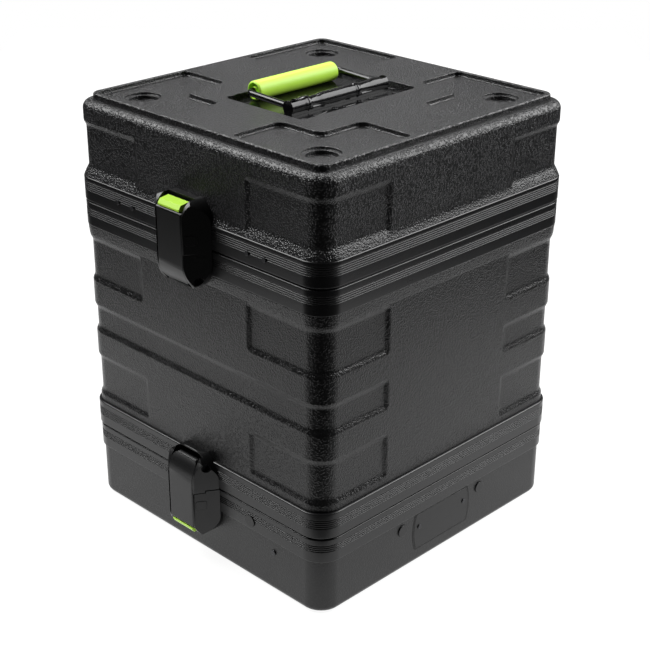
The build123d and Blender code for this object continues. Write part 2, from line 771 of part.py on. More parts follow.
with BuildPart() as lever:
    with BuildSketch(side_view(lever_half)):
        with BuildLine():
            Polyline((lever_side_back, latch_pivot[1] + 3), (lever_side_back, lever_top - 6),
                     (lever_side_back + 4, lever_top - 4), (front_inner, lever_top))
            ThreePointArc((front_inner, lever_top), (latch_depth - 1, lever_top - 1),
                          (latch_depth, lever_top - 3.5))
            Polyline((latch_depth, lever_top - 3.5), (latch_depth, latch_slope_start))
            ThreePointArc((latch_depth, latch_slope_start), (slope_u(slope_middle), slope_middle),
                          latch_foot)
            Polyline(latch_foot, (latch_pivot[0], latch_pivot[1] - 5),
                     (lever_side_back, latch_pivot[1] + 3))
        make_face()
    extrude(amount=2 * lever_half)
    with BuildSketch(side_view(lever_half)):
        with Locations(latch_pivot):
            Circle(pivot_boss_r)
    extrude(amount=2 * lever_half)
    with BuildSketch(Plane.XY.offset(latch_bottom)):
        with Locations((latch_depth / 2, 0)):
            RectangleRounded(latch_depth, 2 * lever_half, lever_edge_r)
    extrude(amount=latch_top - latch_bottom, mode=Mode.INTERSECT)
    with BuildSketch(Plane.YZ) as outline:
        with Locations((0, (latch_top + lever_bottom) / 2)):
            Rectangle(2 * lever_half, latch_top - lever_bottom)
        fillet(outline.vertices().sort_by(Axis.Y)[:2], slot_end_r - lever_play)
    extrude(amount=far, mode=Mode.INTERSECT)
    with BuildSketch(side_view(lever_half - lever_side_t)):
        with BuildLine():
            Polyline((slope_u(inner_foot_w, lever_front_t), inner_foot_w), (0, inner_foot_w),
                     (0, lever_top + 1), (front_inner, lever_top + 1),
                     (front_inner, latch_slope_start))
            ThreePointArc((front_inner, latch_slope_start),
                          (slope_u(slope_middle, lever_front_t), slope_middle),
                          (slope_u(inner_foot_w, lever_front_t), inner_foot_w))
        make_face()
    extrude(amount=2 * (lever_half - lever_side_t), mode=Mode.SUBTRACT)
    with BuildSketch(side_view(lever_half)):
        with Locations(latch_pivot):
            Circle(pivot_d / 2 + running_clearance)
        with Locations(trigger_pivot):
            Circle(trunnion_d / 2 + running_clearance)
    extrude(amount=2 * lever_half, mode=Mode.SUBTRACT)

with BuildPart() as claw:
    with BuildSketch(side_view(claw_half)):
        with BuildLine():
            low_w, high_w = claw_w
            nose = keeper_u + claw_gap
            Polyline((front_inner, low_w - 12), (front_inner, high_w + 8), (front_inner - 3, high_w + 8),
                     (front_inner - 3, high_w), (nose, high_w - 9), (nose, low_w - 9),
                     (nose + 3, low_w - 9), (front_inner - 3, low_w - 4),
                     (front_inner - 3, low_w - 12), close=True)
        make_face()
    extrude(amount=2 * claw_half)

trigger_inner_half = trigger_half - trigger_t
with BuildPart() as trigger:
    with BuildSketch(side_view(trigger_half)):
        with BuildLine():
            lip_w = lever_top + 0.8
            pad_back = lever_side_back - 2
            Polyline((latch_depth - 0.8, lip_w), (latch_depth - 0.8, lip_w + 2),
                     (latch_depth - 4, lip_w + 6.5), (pad_back, lip_w + 8), (pad_back, lip_w - 4),
                     (trigger_pivot[0] - 4, trigger_pivot[1]), (trigger_pivot[0], trigger_pivot[1] - 4),
                     (trigger_pivot[0] + 4, trigger_pivot[1]), (front_inner - 0.5, lip_w - 4),
                     (front_inner - 0.5, lip_w), close=True)
        make_face()
    extrude(amount=2 * trigger_half)
    with BuildSketch(side_view(trigger_inner_half)):
        with Locations((trigger_pivot[0], trigger_pivot[1])):
            Rectangle(12, 16)
    extrude(amount=2 * trigger_inner_half, mode=Mode.SUBTRACT)
    for near_half in (trigger_half + trunnion_length, -trigger_half):
        with BuildSketch(side_view(near_half)):
            with Locations(trigger_pivot):
                Circle(trunnion_d / 2)
        extrude(amount=trunnion_length)


def site(side, seam, up):
    """Where one latch sits: its axes run outwards, and from pivot to trigger."""
    return Plane(origin=(side * case_half, 0, seam - latch_drop), x_dir=(side, 0, 0),
                 z_dir=(0, 0, up))


def placed(shape, plane):
    """A latch piece moved from latch axes to its place on the case."""
    with BuildPart() as made:
        with Locations(plane.location):
            add(shape)
    return made.part


def seated(shape, plane, levels):
    """A housing moved to its place and cut back to the surfaces behind it."""
    with BuildPart() as made:
        with Locations(plane.location):
            add(shape)
        for low, high, low_half, high_half in levels:
            with BuildSketch(Plane.XY.offset(low)):
                square(low_half)
            with BuildSketch(Plane.XY.offset(high)):
                square(high_half)
            loft(mode=Mode.SUBTRACT)
    return made.part


lid_levels = [(top_seam - 10, lid_flare_z, lid_valance_half, lid_valance_half),
              (lid_flare_z, lid_foot, lid_valance_half - flare_step, lid_half),
              (lid_foot, shoulder_z - lid_shoulder_r, lid_half, lid_half)]
top_levels = [(top_valance_z, top_seam + 10, top_valance_half, top_valance_half),
              (flare_foot, top_valance_z, body_half, top_valance_half - flare_step),
              (body_foot, flare_foot, body_half, body_half)]
low_levels = [(low_seam - 10, body_foot, low_valance_half, low_valance_half),
              (body_foot, flare_foot, body_half, body_half)]
base_levels = [(base_wall_h, low_seam + 10, base_valance_half, base_valance_half),
               (0, base_wall_h, base_half, base_half)]

pins = []
lid_caps = []
base_caps = []
for side, hand in ((-1, "left"), (1, "right")):
    for seam, up, level, pivot_levels, keeper_levels, caps in (
            (top_seam, 1, "upper", top_levels, lid_levels, lid_caps),
            (low_seam, -1, "lower", low_levels, base_levels, base_caps)):
        name = f"{level}_{hand}"
        plane = site(side, seam, up)
        save(seated(pivot_housing.part, plane, pivot_levels), f"{name}_pivot_housing")
        save(seated(keeper_housing.part, plane, keeper_levels), f"{name}_keeper_housing")
        save(placed(lever.part, plane), f"{name}_lever")
        save(placed(claw.part, plane), f"{name}_claw")
        save(placed(trigger.part, plane), f"{name}_trigger")
        pins.append(placed(pivot_pin.part, plane))
        caps.append(placed(cover_caps.part, plane))

for pieces, name in ((pins, "latch_pivot_pins"), (lid_caps, "lid_latch_caps"),
                     (base_caps, "base_latch_caps")):
    with BuildPart() as group:
        for piece in pieces:
            add(piece)
    save(group.part, name)
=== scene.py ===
"""Finished surfaces of a tall stackable microphone case, built round its CAD frame.

Shapes are modelled in millimetres and put into the frame in metres."""

import math

import bmesh
import bpy
from bpy.props import FloatProperty, FloatVectorProperty, PointerProperty
from mathutils import Matrix, Vector


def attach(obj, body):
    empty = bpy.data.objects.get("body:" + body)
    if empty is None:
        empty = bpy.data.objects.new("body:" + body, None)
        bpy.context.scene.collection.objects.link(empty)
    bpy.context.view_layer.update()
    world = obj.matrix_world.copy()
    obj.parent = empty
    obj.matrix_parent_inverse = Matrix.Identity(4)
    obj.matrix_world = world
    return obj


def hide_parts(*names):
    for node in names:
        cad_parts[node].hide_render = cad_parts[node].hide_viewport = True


bl_info = {
    "name": "Microphone case finish",
    "version": (1, 0, 0),
    "blender": (4, 5, 0),
    "location": "View3D > Sidebar > Case",
    "description": "Builds the walls, frames, lid, latches, handle and foam of a microphone case",
    "category": "Object",
}

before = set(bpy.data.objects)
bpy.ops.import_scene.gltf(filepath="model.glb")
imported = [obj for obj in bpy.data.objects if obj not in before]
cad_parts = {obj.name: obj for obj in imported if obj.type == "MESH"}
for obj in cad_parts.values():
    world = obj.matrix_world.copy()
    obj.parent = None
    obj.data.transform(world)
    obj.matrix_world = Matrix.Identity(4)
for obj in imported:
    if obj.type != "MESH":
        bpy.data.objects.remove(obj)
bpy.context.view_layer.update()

# ---- sizes shared with the frame, in millimetres ----------------------------------------
MM = 0.001
WELD = 0.0005                # points that lie closer than this are one
FLAT_TURN = 0.4              # faces that turn by fewer degrees than this are one
CORNER = 180.0               # the vertical corners bend about (±CORNER, ±CORNER)
LINER, CAVITY = 206.0, 201.0             # outside and inside of the wall behind the frames
LOW_SEAM, BODY_FOOT, FLARE_FOOT, TOP_FRAME = 101.5, 135.0, 361.0, 374.0
TOP_SEAM, LID_FLARE, LID_FOOT, SHOULDER = 405.0, 435.5, 444.0, 527.0
SEAM_PLAY = 0.3
BASE_FACE, BASE_FLOOR, BASE_FRAME, BASE_RIM = 207.0, 5.0, 70.0, 95.5
BODY_FACE, BODY_PANEL, BODY_FLARE = 207.5, 204.8, 209.0
BODY_LOW_RIM, BODY_HIGH_RIM = 107.8, 399.0
LID_FACE, LID_PANEL, LID_FLANGE, LID_RIM = 206.0, 203.2, 209.5, 411.3
DECK, PAD_FLOOR = 515.5, 528.5           # underside of the lid's top, floor of the corner pads
RING_INSIDE, TOP_EDGE, POCKET = 188.0, 193.0, 148.0
PANEL_RADIUS = 7.0
PANEL_END_FRONT, PANEL_END_SIDE = 100.0, 90.0    # where the panels begin, from the middle of a wall
WHOLE_SIDE = -400.0          # instead of PANEL_END_SIDE: the panel takes in the whole side wall
FRAME_FACE, LOWER_BODY_FRAME_FACE, LID_FRAME_FACE = 209.5, 210.7, 210.0
SEAL_INSIDE, SEAL_OUTSIDE, SEAL_SLOT, SEAL_HEIGHT = 202.5, 206.5, 3.5, 1.6
FOAM = 200.7
PIVOT_Y, PIVOT_Z = -25.0, 536.5          # the handle's hinge line
PLATE_TOP = 527.5
NAME_PLATE_MIDDLE = 44.0


# ---- the user's values ------------------------------------------------------------------
class CaseSizes(bpy.types.PropertyGroup):
    """Sizes of the finishing detail"""

    panel_edge: FloatProperty(
        name="Panel edge", description="Width of the soft step round a sunk wall panel",
        default=0.0085, unit="LENGTH")
    lid_pebble: FloatProperty(
        name="Lid pebble", description="Size of the grains moulded into the lid",
        default=0.0023, unit="LENGTH")
    body_pebble: FloatProperty(
        name="Body grain", description="Size of the grains moulded into the sleeve",
        default=0.0021, unit="LENGTH")
    moulding_edge: FloatProperty(
        name="Moulding edge", description="Radius on the edges of the moulded latch pieces",
        default=0.0012, unit="LENGTH")


class CaseColours(bpy.types.PropertyGroup):
    """Colours of the finishes"""

    plastic: FloatVectorProperty(
        name="Wall plastic", description="Moulded plastic of the walls", subtype="COLOR",
        size=4, default=(0.0045, 0.0045, 0.0048, 1.0))
    nylon: FloatVectorProperty(
        name="Latch plastic", description="Smooth plastic of the latches", subtype="COLOR",
        size=4, default=(0.0035, 0.0035, 0.0038, 1.0))
    accent: FloatVectorProperty(
        name="Accent", description="Colour of the grip and the latch triggers", subtype="COLOR",
        size=4, default=(0.52, 0.87, 0.07, 1.0))
    metal: FloatVectorProperty(
        name="Frame metal", description="Black coat of the aluminium frames", subtype="COLOR",
        size=4, default=(0.006, 0.006, 0.0065, 1.0))
    floor: FloatVectorProperty(
        name="Floor", description="Colour of the studio floor", subtype="COLOR",
        size=4, default=(0.15, 0.15, 0.15, 1.0))


# ---- finishes ---------------------------------------------------------------------------
class Value:
    """A socket that varies over a surface. Arithmetic on it adds the Math nodes it needs."""

    def __init__(self, finish, socket):
        self.finish, self.socket = finish, socket

    def math(self, operation, *terms):
        return self.finish.node("ShaderNodeMath", {"operation": operation}, dict(enumerate(terms)))

    def __add__(self, other):
        return self.math("ADD", self, other)

    def __mul__(self, other):
        return self.math("MULTIPLY", self, other)

    def __sub__(self, other):
        return self.math("SUBTRACT", self, other)

    def __rsub__(self, other):
        return self.math("SUBTRACT", other, self)

    def __abs__(self):
        return self.math("ABSOLUTE", self)

    __radd__, __rmul__ = __add__, __mul__

    def between(self, low, high):
        """This value stretched so that low gives 0 and high gives 1, and cut off there."""
        return self.finish.node("ShaderNodeMapRange", {"interpolation_type": "SMOOTHSTEP"},
                                {"Value": self, "From Min": low, "From Max": high})


class Finish:
    """One material. Numbers that are the same all over sit on the shader's own sockets."""

    def __init__(self, name, **shader):
        self.material = bpy.data.materials.new(name)
        self.material.use_nodes = True
        self.tree = self.material.node_tree
        self.shader = self.tree.nodes["Principled BSDF"]
        self.set(**shader)

    def set(self, **sockets):
        """Fills the shader's sockets: Base_Color stands for Base Color."""
        for name, value in sockets.items():
            self.put(self.shader.inputs[name.replace("_", " ")], value)

    def put(self, socket, value):
        if isinstance(value, Value):
            self.tree.links.new(value.socket, socket)
        else:
            socket.default_value = value

    def node(self, kind, settings, sockets, output=0):
        """Any node: its settings first, then its sockets, and the output that is wanted."""
        made = self.tree.nodes.new(kind)
        for name, value in settings.items():
            setattr(made, name, value)
        for name, value in sockets.items():
            self.put(made.inputs[name], value)
        return Value(self, made.outputs[output])

    def where(self):
        """The place on the piece, in metres."""
        return self.node("ShaderNodeTexCoord", {}, {}, "Object")

    def along(self, axis):
        """One coordinate of the place on the piece, in metres."""
        return self.node("ShaderNodeSeparateXYZ", {}, {0: self.where()}, axis)

    def stretched(self, scale):
        """The place on the piece with each axis scaled."""
        return self.node("ShaderNodeMapping", {}, {"Vector": self.where(), "Scale": scale})

    def noise(self, size, detail=2.0, rough=0.5, vector=None, spread=0.0):
        """Soft noise with features of one size in metres."""
        return self.node("ShaderNodeTexNoise", {}, {
            "Vector": vector or self.where(), "Scale": 1 / size, "Detail": detail,
            "Roughness": rough, "Distortion": spread}, "Fac")

    def cells(self, size):
        """Distance to the nearest of scattered points that lie one size apart."""
        return self.node("ShaderNodeTexVoronoi", {"feature": "F1"}, {
            "Vector": self.where(), "Scale": 1 / size}, "Distance")

    def blend(self, share, first, second):
        """One colour turning into another."""
        return self.node("ShaderNodeMix", {"data_type": "RGBA"}, {0: share, 6: first, 7: second}, 2)

    def shades(self, colour, share, low, high):
        """A colour that runs between two strengths of itself."""
        return self.blend(share, tuple(low * c for c in colour[:3]) + (1.0,),
                          tuple(min(1.0, high * c) for c in colour[:3]) + (1.0,))

    def bump(self, height, distance, strength=1.0):
        """Relief of a height field, with its depth in metres."""
        self.set(Normal=self.node("ShaderNodeBump", {}, {
            "Strength": strength, "Distance": distance, "Height": height}, "Normal"))


def moulded_plastic(name, colour, pebble, depth, rough, tip_highlight=1.5):
    """Black plastic with a moulded grain, its tips painted paler as a painted highlight and its hollows
    darker as painted shade, and faint cloudiness.
    """
    finish = Finish(name, IOR=1.46)
    grains = finish.cells(pebble)
    tips = grains.between(0.65, 0.15)
    cloud = finish.noise(0.05, detail=3.0, rough=0.6)
    finish.bump(tips * 0.7 + finish.noise(pebble * 0.45) * 0.4, depth)
    # Colour: the grain tips are painted up to several times paler, a painted highlight, and the hollows
    # between them darker, painted shade; cloud adds random tone.
    finish.set(Base_Color=finish.shades(colour, tips * 0.8 + cloud * 0.2, low=0.6, high=tip_highlight),
               Roughness=rough + cloud * 0.08 - tips * 0.05)
    return finish.material


def smooth_plastic(name, colour, rough):
    """Smooth moulded plastic with the faintest orange peel and finger rubs."""
    finish = Finish(name, IOR=1.44)
    cloud = finish.noise(0.018, detail=3.0, rough=0.6)
    rubs = finish.noise(0.006, detail=5.0, rough=0.65, vector=finish.stretched((1.0, 1.0, 0.25)),
                        spread=0.8).between(0.58, 0.72)
    finish.bump(finish.noise(0.0011), 0.00004, strength=0.5)
    finish.set(Base_Color=finish.shades(colour, cloud, low=0.85, high=1.18),
               Roughness=rough + cloud * 0.12 + rubs * 0.06)
    return finish.material


def frame_metal(name, colour):
    """Extruded aluminium in black: die lines run round the case, wear shows on the seam edges."""
    finish = Finish(name, IOR=1.45)
    lines = finish.noise(0.0012, vector=finish.stretched((0.02, 0.02, 1.0)))
    cloud = finish.noise(0.03, detail=3.0, rough=0.6)
    height = finish.along("Z")
    worn_width = 0.0012
    low_worn, top_worn = (abs(height - seam * MM).between(worn_width, 0.0) for seam in (LOW_SEAM, TOP_SEAM))
    scuffs = (low_worn + top_worn) * finish.noise(0.008, detail=4.0, rough=0.7).between(0.55, 0.70)
    finish.bump(lines, 0.00002, strength=0.1)
    finish.set(Base_Color=finish.blend(scuffs * 0.5, finish.shades(colour, lines, low=0.8, high=1.2),
                                       (0.20, 0.20, 0.21, 1.0)),
               Metallic=scuffs * 0.5, Roughness=0.22 + cloud * 0.10 + lines * 0.04)
    return finish.material


def coated_steel(name, colour, rough):
    """Steel in a glossy black coat with a slight flow and fine scratches."""
    finish = Finish(name, IOR=1.36, Coat_Roughness=0.08)
    scratches = finish.noise(0.0007, detail=3.0, rough=0.6,
                             vector=finish.stretched((0.06, 1.0, 1.0))).between(0.60, 0.66)
    cloud = finish.noise(0.02, detail=3.0)
    finish.bump(finish.noise(0.006) + scratches * 0.15, 0.00003, strength=0.5)
    finish.set(Base_Color=finish.shades(colour, cloud, low=0.8, high=1.25),
               Roughness=rough + cloud * 0.10 + scratches * 0.12, Coat_Weight=0.10 - scratches * 0.08)
    return finish.material


def accent_polymer(name, colour, rough, grain):
    """Lime green rubber or plastic with faint flow marks and handling dirt."""
    finish = Finish(name, IOR=1.47)
    cloud = finish.noise(0.022, detail=3.0, rough=0.6)
    dirt = finish.noise(0.004, detail=5.0, rough=0.75).between(0.60, 0.82)
    finish.bump(finish.noise(grain) + dirt * 0.2, 0.00006, strength=0.6)
    finish.set(Base_Color=finish.blend(dirt * 0.22, finish.shades(colour, cloud, low=0.94, high=1.04),
                                       tuple(0.45 * c for c in colour[:3]) + (1.0,)),
               Roughness=rough + cloud * 0.10 + dirt * 0.10)
    return finish.material


def bare_steel(name, colour, rough):
    """Plated or blackened steel with turning lines."""
    finish = Finish(name, Metallic=0.9, IOR=1.5)
    lines = finish.noise(0.0009, detail=3.0, rough=0.6)
    finish.bump(lines, 0.00003, strength=0.5)
    finish.set(Base_Color=finish.shades(colour, lines, low=0.8, high=1.2), Roughness=rough + lines * 0.15)
    return finish.material


def open_foam(name, colour):
    """Charcoal foam: fine open cells whose hollows are painted darker as painted shade, and a dusty sheen."""
    finish = Finish(name, Sheen_Weight=0.3, Sheen_Roughness=0.6, IOR=1.3)
    pores = finish.cells(0.0011)
    soft = finish.noise(0.02, detail=3.0)
    finish.bump(pores * 0.7 + finish.noise(0.0005) * 0.4, 0.0006)
    # Colour: the cell hollows are painted darker than the foam between them, painted shade; the soft noise is
    # random tone.
    finish.set(Base_Color=finish.shades(colour, pores * 0.8 + soft * 0.4, low=0.5, high=1.5),
               Roughness=0.85 + soft * 0.1)
    return finish.material


def stained_ply(name, colour):
    """Black stained plywood: long grain on the faces, plies along the edges."""
    finish = Finish(name, IOR=1.45)
    fibre = finish.noise(0.004, detail=5.0, rough=0.65, vector=finish.stretched((0.06, 1.0, 1.0)),
                         spread=1.2)
    plies = finish.node("ShaderNodeTexWave", {"bands_direction": "Z"}, {
        "Vector": finish.where(), "Scale": 260.0, "Distortion": 0.6, "Detail": 1.0}, "Fac")
    finish.bump(fibre, 0.00015, strength=0.8)
    finish.set(Base_Color=finish.shades(colour, fibre * 0.8 + plies * 0.25, low=0.6, high=1.9),
               Roughness=0.5 + fibre * 0.2)
    return finish.material


finishes = {}


def finish_of(slot):
    """The material of one of the record's slots, made when it is first asked for."""
    if slot in finishes:
        return finishes[slot]
    sizes, colours = bpy.context.scene.case_sizes, bpy.context.scene.case_colours
    plastic, nylon = tuple(colours.plastic), tuple(colours.nylon)
    accent, metal = tuple(colours.accent), tuple(colours.metal)
    makers = {
        "lid_plastic": lambda: moulded_plastic(
            "Pebbled lid plastic", plastic, sizes.lid_pebble, depth=0.00060, rough=0.29, tip_highlight=6.0),
        "body_plastic": lambda: moulded_plastic(
            "Grained body plastic", plastic, sizes.body_pebble, depth=0.00040, rough=0.28, tip_highlight=2.0),
        "base_plastic": lambda: moulded_plastic(
            "Satin base plastic", plastic, sizes.body_pebble, depth=0.00012, rough=0.36),
        "valance_metal": lambda: frame_metal("Black frame metal", metal),
        "latch_plastic": lambda: smooth_plastic("Latch nylon", nylon, rough=0.30),
        "green_plastic": lambda: accent_polymer("Trigger plastic", accent, rough=0.30, grain=0.0012),
        "green_rubber": lambda: accent_polymer("Grip rubber", accent, rough=0.42, grain=0.0018),
        "handle_metal": lambda: coated_steel("Gloss handle coat", (0.003, 0.003, 0.0033, 1.0), rough=0.12),
        "plate_metal": lambda: coated_steel("Blank plate coat", (0.0055, 0.0055, 0.0058, 1.0), rough=0.30),
        "dark_fasteners": lambda: bare_steel("Blackened fasteners", (0.05, 0.05, 0.053, 1.0), rough=0.30),
        "spring_steel": lambda: bare_steel("Plated steel", (0.52, 0.52, 0.50, 1.0), rough=0.28),
        "seal_rubber": lambda: moulded_plastic(
            "Sponge seal", (0.02, 0.02, 0.02, 1.0), pebble=0.0008, depth=0.0002, rough=0.75),
        "foam": lambda: open_foam("Charcoal foam", (0.055, 0.055, 0.06, 1.0)),
        "shelf_board": lambda: stained_ply("Stained ply", (0.03, 0.028, 0.026, 1.0)),
    }
    finishes[slot] = makers[slot]()
    return finishes[slot]


# ---- shaping ----------------------------------------------------------------------------
def dress(name, bm, body, slot, nodes=(), crease=32.0):
    """Closes a shape made in millimetres and puts it in the frame as a finished piece."""
    bmesh.ops.remove_doubles(bm, verts=bm.verts, dist=WELD)
    bmesh.ops.recalc_face_normals(bm, faces=bm.faces)
    for face in bm.faces:
        face.smooth = True
    for edge in bm.edges:
        edge.smooth = len(edge.link_faces) == 2 and edge.calc_face_angle(0.0) < math.radians(crease)
    bmesh.ops.scale(bm, vec=(MM, MM, MM), verts=bm.verts)
    mesh = bpy.data.meshes.new(name)
    bm.to_mesh(mesh)
    bm.free()
    mesh.materials.append(finish_of(slot))
    piece = bpy.data.objects.new(name, mesh)
    bpy.context.scene.collection.objects.link(piece)
    shading = piece.modifiers.new("Even shading", "WEIGHTED_NORMAL")
    shading.keep_sharp = True
    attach(piece, body)
    if nodes:
        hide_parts(*nodes)
    return piece


def copied(*nodes):
    """A merged copy of CAD solids, in millimetres, with flat faces made whole again."""
    bm = bmesh.new()
    for node in nodes:
        bm.from_mesh(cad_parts[node].data)
    bmesh.ops.scale(bm, vec=(1 / MM, 1 / MM, 1 / MM), verts=bm.verts)
    bmesh.ops.remove_doubles(bm, verts=bm.verts, dist=2 * WELD)
    bmesh.ops.dissolve_limit(bm, angle_limit=math.radians(FLAT_TURN), verts=bm.verts, edges=bm.edges)
    return bm


def sharp_edges(bm, angle=28.0, wanted=None):
    """The edges that turn by more than an angle in degrees."""
    return [e for e in bm.edges if len(e.link_faces) == 2
            and e.calc_face_angle(0.0) > math.radians(angle) and (wanted is None or wanted(e))]


def soften(bm, edges, radius, segments=3, clamp=True):
    """Rounds edges, no wider than the shortest edge allows unless clamp is off."""
    return bmesh.ops.bevel(bm, geom=edges, offset=radius, offset_type="OFFSET", segments=segments,
                           profile=0.5, affect="EDGES", clamp_overlap=clamp, material=-1)


def centre_of(element):
    """The middle of an edge or face."""
    total = Vector()
    for vert in element.verts:
        total += vert.co
    return total / len(element.verts)


def rounded(points, steps=4):
    """An outline of (half width, height, radius) points with its corners rounded."""
    made = []
    for index, (half, height, radius) in enumerate(points):
        here = Vector((half, height))
        if not radius:
            made.append(tuple(here))
            continue
        back = (Vector(points[index - 1][:2]) - here).normalized()
        ahead = (Vector(points[(index + 1) % len(points)][:2]) - here).normalized()
        turn = back.angle(ahead)
        middle = here + (back + ahead).normalized() * (radius / math.sin(turn / 2))
        first = here + back * (radius / math.tan(turn / 2)) - middle
        last = here + ahead * (radius / math.tan(turn / 2)) - middle
        for step in range(steps + 1):
            spoke = first.lerp(last, step / steps).normalized() * radius
            made.append(tuple(middle + spoke))
    return made


class Dent:
    """A sunk panel that wraps a vertical corner of the case."""

    def __init__(self, low, high, floor, ends, edge):
        self.low, self.high, self.floor, self.ends, self.edge = low, high, floor, ends, edge

    def half(self, half, height, reach, on_side):
        """The half width of the wall at a place once the panel is sunk."""
        across = self.ends[on_side] + PANEL_RADIUS - reach
        up = abs(height - (self.low + self.high) / 2) - (self.high - self.low) / 2 + PANEL_RADIUS
        outside = math.hypot(max(across, 0), max(up, 0)) + min(max(across, up), 0) - PANEL_RADIUS
        share = min(1.0, max(0.0, -outside / self.edge))
        eased = share * share * (3 - 2 * share)
        return half - eased * max(0.0, half - self.floor)

    def stops(self, at, inward):
        """Positions across the panel's edge where the wall needs extra rows or columns."""
        steps = (-1.5, -0.4, 0.0, 0.5, 1.0, 1.6, 2.2, 2.8, 3.4, 4.0, 4.6, 5.2, 5.8, 6.6, 7.6, 9.0, 12.0)
        return [at + inward * step for step in steps]


def square_columns(front_stops, side_stops, arc):
    """The columns round the case: foot point, outward direction, reach along the wall, on a side wall."""
    columns = []
    past_panels = 3 * CORNER
    for quarter in range(4):
        angle = math.radians(90 * quarter - 90)
        out, along = Vector((math.cos(angle), math.sin(angle))), Vector((-math.sin(angle), math.cos(angle)))
        on_side = quarter % 2
        near = side_stops if on_side else front_stops
        stops = sorted({-CORNER, 0.0} | set(near) | {-stop for stop in near})
        for stop in stops:
            columns.append((out * CORNER + along * stop, out, abs(stop), on_side))
        for step in range(arc):
            turned = angle + math.radians(90) * step / arc
            columns.append(((out + along) * CORNER, Vector((math.cos(turned), math.sin(turned))),
                            past_panels, on_side))
    return columns


def square_sweep(outline, dents=(), arc=12, closed=True):
    """Sweeps an outline of (half width, height) points round the case, row by row."""
    rows = {r for d in dents for r in d.stops(d.low, 1) + d.stops(d.high, -1)}
    front = [s for d in dents for s in d.stops(d.ends[0], 1)]
    side = [s for d in dents if d.ends[1] > 0 for s in d.stops(d.ends[1], 1)]
    columns = square_columns(set(front), set(side), arc)
    path, gap = [], 0.1
    for index, (half, height) in enumerate(outline):
        path.append((half, height))
        after = outline[(index + 1) % len(outline)]
        upright, outside = abs(after[0] - half) < 0.01, half > CAVITY + gap
        if upright and outside:
            low, high = sorted((height, after[1]))
            between = sorted({r for r in rows if low + gap < r < high - gap}, reverse=after[1] < height)
            path.extend((half, r) for r in between)
    bm = bmesh.new()
    which = bm.verts.layers.int.new("column")
    ring = bmesh.ops.create_circle(bm, cap_ends=False, segments=len(columns), radius=1.0)["verts"]
    for index, vert in enumerate(ring):
        vert[which] = index

    def place(verts, half, height):
        for vert in verts:
            foot, out, reach, on_side = columns[vert[which]]
            depth = half
            for dent in dents:
                depth = dent.half(depth, height, reach, on_side)
            vert.co = (*(foot + out * (depth - CORNER)), height)

    place(ring, *path[0])
    edges = list(bm.edges)
    if not closed:
        bmesh.ops.edgeloop_fill(bm, edges=edges)
    for half, height in path[1:] + (path[:1] if closed else []):
        grown = bmesh.ops.extrude_edge_only(bm, edges=edges)["geom"]
        place([g for g in grown if isinstance(g, bmesh.types.BMVert)], half, height)
        edges = [g for g in grown if isinstance(g, bmesh.types.BMEdge)]
    if not closed:
        bmesh.ops.edgeloop_fill(bm, edges=edges)
    bmesh.ops.remove_doubles(bm, verts=bm.verts, dist=WELD)
    return bm


def joined(*parts):
    """Several shapes as one."""
    whole = bmesh.new()
    for part in parts:
        spare = bpy.data.meshes.new("spare")
        part.to_mesh(spare)
        part.free()
        whole.from_mesh(spare)
        bpy.data.meshes.remove(spare)
    return whole


# ---- operators --------------------------------------------------------------------------
class CASE_OT_base(bpy.types.Operator):
    """Build the base tray with its foot and floor"""

    bl_idname = "case.base"
    bl_label = "Base tray"
    bl_options = {"REGISTER", "UNDO"}

    def execute(self, context):
        flat_floor, step_radius, foot_radius = 185.0, 0.4, 8.0
        outline = rounded([
            (flat_floor, BASE_FLOOR, 0), (CAVITY, BASE_FLOOR, 0), (CAVITY, BASE_RIM, 0),
            (LINER, BASE_RIM, 0), (LINER, BASE_FRAME, 0), (BASE_FACE, BASE_FRAME, step_radius),
            (BASE_FACE, 0.0, foot_radius), (flat_floor, 0.0, 0)], 6)
        tray = square_sweep(outline, arc=14, closed=False)
        dress("base_tray", tray, "base", "base_plastic", ["base_shell"])
        return {"FINISHED"}


class CASE_OT_body(bpy.types.Operator):
    """Build the sleeve with its sunk corner panels and flare"""

    bl_idname = "case.body"
    bl_label = "Body sleeve"
    bl_options = {"REGISTER", "UNDO"}

    def execute(self, context):
        sizes = context.scene.case_sizes
        dents = [Dent(low, high, BODY_PANEL, (PANEL_END_FRONT, side_end), sizes.panel_edge / MM)
                 for low, high, side_end in ((143.0, 202.0, PANEL_END_SIDE), (231.0, 271.0, WHOLE_SIDE),
                                             (300.0, 361.0, PANEL_END_SIDE))]
        outline = rounded([
            (LINER, BODY_LOW_RIM, 0), (LINER, BODY_FOOT, 0), (BODY_FACE, BODY_FOOT, 0.6),
            (BODY_FACE, FLARE_FOOT, 0), (BODY_FACE + 0.5, FLARE_FOOT + 1.5, 0), (BODY_FLARE, TOP_FRAME, 0.5),
            (LINER, TOP_FRAME, 0), (LINER, BODY_HIGH_RIM, 0), (CAVITY, BODY_HIGH_RIM, 0),
            (CAVITY, BODY_LOW_RIM, 0)])
        sleeve = square_sweep(outline, dents)
        dress("body_sleeve", sleeve, "body", "body_plastic", ["body_shell"])
        return {"FINISHED"}


